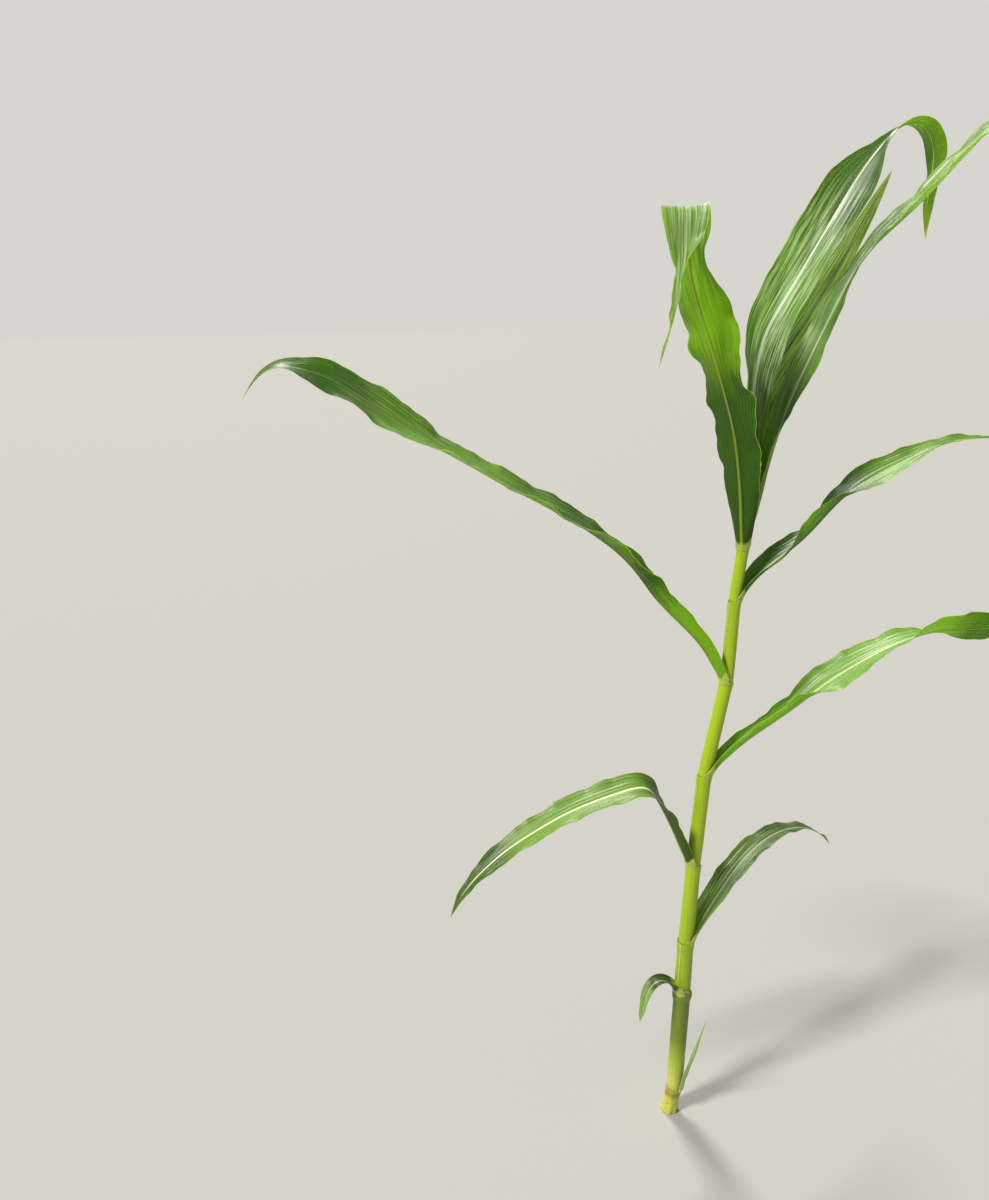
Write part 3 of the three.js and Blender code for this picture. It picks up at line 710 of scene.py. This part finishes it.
def half_width(leaf, t, foot):
    """From the foot's half-width to the widest along a quarter sine, then to the point along a
    quarter cosine to the power of 0.85. Each pinch at a place takes the width down towards a share
    of itself with 1 - (1 - share) exp(-((t - place) / reach) squared)."""
    widest = leaf["width"] / 2
    peak = leaf.get("widest", WIDEST)
    early = foot + (widest - foot) * np.sin(np.clip(t / peak, 0, 1) * math.pi / 2)
    late = widest * np.cos(np.clip((t - peak) / (1 - peak), 0, 1) * math.pi / 2).clip(0) ** TAPER
    gathered = np.ones_like(t)
    for place, reach, share in leaf.get("pinches", ()):
        gathered *= 1 - (1 - share) * np.exp(-((t - place) / reach) ** 2)
    return np.maximum(np.where(t < peak, early, late) * gathered, POINT_HALF)


def margin_waves(leaf, run):
    """Ruffle of the two margins: three sine waves each, with seeded phases, along the run."""
    phases = chance.uniform(0, 2 * math.pi, (2, len(RUFFLES)))
    return [
        leaf["ruffle"] * sum(
            share * np.sin(2 * math.pi * run / length + phase)
            for (length, share), phase in zip(RUFFLES, side))
        for side in phases]


def blade_face(leaf):
    """The blade's upper face. The midrib is a walk along the blade's directions, and each
    cross-section is an arc of the cup's angle. The ruffle grows towards the margins, a channel
    runs along the midrib, and shallow pleats follow the veins. All three are divided by 1 plus the
    square of the bending over a sharp bend's, so that a fold stays clean. Each lobe moves a margin
    out along a bell curve of the length. The foot goes on below as part of a cone round the stem.
    With the face come the share of the length, the run and the place across in millimetres, and
    the half-width."""
    rows = round(leaf["length"] / BLADE_STEP)
    t = np.linspace(0, 1, rows)
    q = np.linspace(-1, 1, BLADE_COLUMNS)
    heading = math.radians(leaf["way"][0][2])
    wrap = math.radians(leaf["way"][0][4])
    collar = leaf["collar"]
    radius = np.interp(collar, STALK[:, 0], STALK[:, 2])
    foot = leaf.get("foot", radius + BLADE_OFF)
    start = np.array([
        stalk_lean(collar) + foot * math.cos(heading), foot * math.sin(heading), collar + SEAT])
    middles = (np.arange(PATH_STEPS) + 0.5) / PATH_STEPS
    steps = blade_axes(*np.radians(through_rows(leaf["way"], middles)[:, :3]).T)[0]
    path = start + np.vstack([np.zeros(3), np.cumsum(steps, 0)]) * leaf["length"] / PATH_STEPS
    reached = np.arange(PATH_STEPS + 1)
    midrib = np.stack([np.interp(t * PATH_STEPS, reached, line) for line in path.T], -1)
    pitch, turn_to, roll, cup = np.radians(through_rows(leaf["way"], t)).T
    along, across, out = blade_axes(pitch, turn_to, roll)
    half = half_width(leaf, t, foot * wrap)[:, None]
    cup = np.maximum(cup, LEAST_CUP)[:, None]
    side = np.sin(cup * q) * half / cup
    rise = (1 - np.cos(cup * q)) * half / cup
    for place, reach, out_by, margin in leaf.get("lobes", ()):
        bulge = out_by * np.exp(-((t - place) / reach) ** 2)[:, None]
        side = side + margin * bulge * smooth(margin * q, *LOBE_SPREAD)
    run = (t * leaf["length"])[:, None]
    bending = np.abs(np.gradient(pitch, t * leaf["length"]))[:, None]
    grown = smooth(t, *GROWTH_FROM_FOOT)[:, None] * smooth(1 - t, *GROWTH_FROM_POINT)[:, None]
    grown = grown / (1 + (bending / SHARP_BEND) ** 2)
    left, right = margin_waves(leaf, run)
    rise = rise + grown * (left * smooth(-q, *RUFFLE_SPREAD) + right * smooth(q, *RUFFLE_SPREAD))
    flat = half / half.max()
    rise = rise - CHANNEL_DEPTH * flat * grown * np.exp(-(q * half / CHANNEL_SPREAD) ** 2)
    for folds, depth, shift in PLEATS:
        rise = rise + depth * flat * grown * np.cos(math.pi * folds * q + shift)
    face = midrib[:, None] + across[:, None] * side[..., None] + out[:, None] * rise[..., None]
    depth = np.linspace(FOOT_DEPTH, 0, FOOT_ROWS, endpoint=False)[:, None]
    settle = (1 - depth / FOOT_DEPTH) ** 2
    inside = radius + SHEATH_OFF + MOUTH_FLARE + FOOT_IN_MOUTH
    if "foot" in leaf:
        inside = foot - FOOT_IN_WHORL
    around = heading - wrap * q
    hug = inside + (foot - inside) * settle
    bottom = np.stack([
        stalk_lean(collar - depth) + hug * np.cos(around), hug * np.sin(around),
        collar + SEAT - depth + settle * (face[0, :, 2] - collar - SEAT)], -1)
    face = np.concatenate([bottom, face])
    t = np.concatenate([np.zeros(FOOT_ROWS), t])[:, None] + 0 * q
    run = np.concatenate([-depth, run])[:, :1] + 0 * q
    half = np.concatenate([np.full((FOOT_ROWS, 1), half[0, 0]), half])
    return face, t, run, q * half, half


BLADE_VEINS = (20, 64)
BLADE_VEIN_SHARE = 0.3
BLADE_RELIEF = 0.0004
BLADE_GRAIN = ((1, 1, 1), 9, 4)
# shares of blotches and streaks in the brightness, and where it goes from deep to bright green
BRIGHT_BLOTCHES = 0.7
BRIGHT_STREAKS = 0.5
BRIGHT_RANGE = (0.38, 0.82)
# painted sheen: a pale greyish colour laid in long streaks where a blade shines, its share, and the values
# of the streaks where it starts to show and where it is whole
PAINTED_SHEEN = (184, 206, 166)
PAINTED_SHEEN_SHARE = 0.55
PAINTED_SHEEN_RANGE = (0.4, 0.66)
MARGIN_LIGHT = (176, 196, 92)
MARGIN_SHARE = 0.3
# millimetres in from the margin where its light line starts to show and where it is whole
MARGIN_LINE = (1.0, 0.2)
COLLAR_LIGHT = (186, 202, 96)
DRY_POINT = (176, 158, 96)
DRY_RANGE = (0.3, 0.6)
# what the streaks add to the roughness, and where they carry the gloss
DULL_STREAKS = 0.3
GLOSS_RANGE = (0.35, 0.75)


def blade_finish(name, deep, bright, vein, rib, rough, glow, gloss, shine):
    """A blade's skin: deep and bright green streaked along the veins, brightened and darkened by the
    painted light and shade of its tone mark, paler bold veins, a painted sheen of pale greyish long
    streaks, the pale midrib from its own mask, a pale collar, a thin light line along the margin and
    a dry point."""
    material, tree, shader = new_finish(
        name, Subsurface_Weight=glow, Subsurface_Scale=GLOW_DEPTH, Subsurface_Radius=(0.75, 1.0, 0.06),
        Coat_Roughness=0.32, Specular_IOR_Level=shine)
    uv = put_node(tree, "UVMap", uv_map="surface").outputs["UV"]
    lines = put_node(tree, "Group", {
        "Place": uv, "Bold Veins": BLADE_VEINS[0], "Fine Veins": BLADE_VEINS[1]}, node_tree=veins)
    place = put_node(tree, "TexCoord").outputs["Object"]
    marks = {mark: put_node(tree, "Attribute", attribute_name=mark).outputs["Fac"]
             for mark in ("rib", "edge", "collar", "tone_and_painted_light", "painted_sheen", "tip", "breadth")}
    blotches = grain(tree, place, *BLADE_GRAIN)
    tone_and_painted_light = calculate(tree, "ADD", calculate(tree, "MULTIPLY", blotches, BRIGHT_BLOTCHES),
                     calculate(tree, "MULTIPLY", lines.outputs["Streaks"], BRIGHT_STREAKS))
    # the tone mark adds painted light and painted shade along each blade
    tone_and_painted_light = calculate(tree, "ADD", tone_and_painted_light, marks["tone_and_painted_light"])
    colour = paint(tree, fade(tree, tone_and_painted_light, *BRIGHT_RANGE), screen(*deep), screen(*bright))
    veined = calculate(tree, "MULTIPLY", lines.outputs["Bold"], BLADE_VEIN_SHARE)
    colour = paint(tree, veined, colour, screen(*vein))
    # painted sheen: pale streaks laid over the green in each leaf's share of sheen
    painted_sheen_mask = calculate(tree, "MULTIPLY", fade(tree, lines.outputs["Streaks"], *PAINTED_SHEEN_RANGE), marks["painted_sheen"])
    colour = paint(tree, calculate(tree, "MULTIPLY", painted_sheen_mask, PAINTED_SHEEN_SHARE), colour, screen(*PAINTED_SHEEN))
    colour = paint(tree, marks["rib"], colour, screen(*rib))
    margin = calculate(tree, "MULTIPLY", fade(tree, marks["edge"], *MARGIN_LINE), MARGIN_SHARE)
    colour = paint(tree, margin, colour, screen(*MARGIN_LIGHT))
    colour = paint(tree, marks["collar"], colour, screen(*COLLAR_LIGHT))
    dry = calculate(tree, "MULTIPLY", marks["tip"], fade(tree, blotches, *DRY_RANGE))
    colour = paint(tree, dry, colour, screen(*DRY_POINT))
    tree.links.new(colour, shader.inputs["Base Color"])
    dull = calculate(tree, "MULTIPLY_ADD", lines.outputs["Streaks"], DULL_STREAKS, rough)
    tree.links.new(dull, shader.inputs["Roughness"])
    glossy = calculate(tree, "MULTIPLY", fade(tree, lines.outputs["Streaks"], *GLOSS_RANGE), gloss)
    tree.links.new(glossy, shader.inputs["Coat Weight"])
    height = calculate(tree, "MULTIPLY", lines.outputs["Height"], marks["breadth"])
    relief(tree, shader, height, BLADE_RELIEF, 0.24)
    return material


# deep, bright, vein and midrib greens, roughness, translucence, waxy gloss and plain shine
BLADE_FINISHES = {
    "low": [
        blade_finish("low_blade_upper", (28, 52, 2), (88, 124, 14), (108, 138, 36), (214, 222, 172),
                     0.32, 0.5, 0.35, 0.5),
        blade_finish("low_blade_under", (40, 66, 2), (98, 132, 12), (116, 144, 34), (150, 174, 64),
                     0.42, 0.6, 0.05, 0.3)],
    "middle": [
        blade_finish("middle_blade_upper", (26, 58, 0), (90, 134, 4), (110, 150, 22), (216, 224, 172),
                     0.34, 0.6, 0.4, 0.5),
        blade_finish("middle_blade_under", (34, 62, 0), (118, 160, 0), (130, 166, 8), (168, 192, 54),
                     0.42, 0.85, 0.05, 0.28)],
    "young": [
        blade_finish("young_blade_upper", (34, 70, 0), (102, 146, 20), (130, 166, 52), (230, 238, 210),
                     0.32, 0.6, 0.45, 0.5),
        blade_finish("young_blade_under", (56, 94, 0), (130, 168, 0), (144, 178, 20), (170, 196, 60),
                     0.4, 0.8, 0.1, 0.35)],
}

SHEET_THICKNESS = 0.45
POINT_SHARE = 0.45
WIDE_BLADE = 60
RIB_PROUD = 2.4
RIB_SPREAD = 2.4
RIB_POINT_SHARE = 0.35
RIB_TAPER = 0.9
RIB_START = 40
COLLAR_PROUD = 0.9
COLLAR_REACH = 4


def blade_thickness(leaf, share, run, beside):
    """The sheet thins in a straight line towards its point. Below it the midrib is a bell curve
    across, whose height and spread fall off towards the point. A sheathed leaf also has the bead
    of its collar, a bell curve along the run."""
    left = 1 - share
    spread = RIB_SPREAD * (RIB_POINT_SHARE + (1 - RIB_POINT_SHARE) * left)
    stout = min(1, leaf["width"] / WIDE_BLADE)
    proud = RIB_PROUD * stout * left ** RIB_TAPER * smooth(run, 0, RIB_START)
    bead = 0 if "foot" in leaf else COLLAR_PROUD * np.exp(-((run - SEAT) / COLLAR_REACH) ** 2)
    sheet = SHEET_THICKNESS * (POINT_SHARE + (1 - POINT_SHARE) * left)
    return sheet + proud * np.exp(-(beside / spread) ** 2) + bead


# half-width of the pale midrib's stripe at the point, and what a wide blade's foot adds
STRIPE_HALF = (0.6, 1.9)
STRIPE_TAPER = 0.8
# width of the stripe at no paleness, and what full paleness adds
STRIPE_BY_PALENESS = (0.5, 0.6)
STRIPE_EDGE = (-0.5, 0.6)
STRIPE_END = (0.985, 0.9)
# half-widths of the blade between which the stripe fades in
STRIPE_BREADTH = (3, 14)
# how far the pale collar reaches at the midrib, what it gains at the margins, and where
COLLAR_AT_RIB = 3
COLLAR_AT_MARGIN = 9
COLLAR_SPREAD = (0.3, 1)
COLLAR_SOFTNESS = 2
COLLAR_PALENESS = 0.8
DRY_SHARE = 0.975


def blade_marks(leaf, share, run, beside, half):
    """Numbers over the face for the finish: the midrib's stripe, the distance in from the margin,
    the pale collar, the painted light and shade and the painted sheen along straight lines between
    the rows of the tone table, the dry point, and the half-width over its greatest."""
    stout = min(1, leaf["width"] / WIDE_BLADE)
    stripe = STRIPE_HALF[0] + STRIPE_HALF[1] * (1 - share) ** STRIPE_TAPER * stout
    stripe = stripe * (STRIPE_BY_PALENESS[0] + STRIPE_BY_PALENESS[1] * leaf["rib"])
    rib = smooth(stripe - np.abs(beside), *STRIPE_EDGE) * smooth(share, *STRIPE_END)
    collar = COLLAR_AT_RIB + COLLAR_AT_MARGIN * smooth(np.abs(beside) / half, *COLLAR_SPREAD)
    places, greens, painted_sheen = np.array(leaf["tone_and_painted_light"]).T
    return {
        "rib": rib * leaf["rib"] * smooth(half, *STRIPE_BREADTH),
        "edge": half - np.abs(beside),
        "collar": smooth(collar - run, -COLLAR_SOFTNESS, COLLAR_SOFTNESS) * COLLAR_PALENESS,
        "tone_and_painted_light": np.interp(share * 100, places, greens),
        "painted_sheen": np.interp(share * 100, places, painted_sheen),
        "tip": smooth(share, DRY_SHARE, 1),
        "breadth": half / half.max() + 0 * share}


for leaf in LEAVES:
    face, share, run, beside, half = blade_face(leaf)
    rings = sheet_rings(face, blade_thickness(leaf, share, run, beside))
    place = there_and_back(np.stack([beside / half / 2 + 0.5, run * MM], -1))
    marks = blade_marks(leaf, share, run, beside, half)
    name = f"leaf_{leaf['number']:02d}"
    parts = [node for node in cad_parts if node.startswith(name)]
    blade = closed_skin(
        name + "_blade", rings, place, BLADE_FINISHES[leaf["age"]], under=BLADE_COLUMNS,
        marks={mark: there_and_back(values) for mark, values in marks.items()})
    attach(blade, "root")
    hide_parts(*parts)
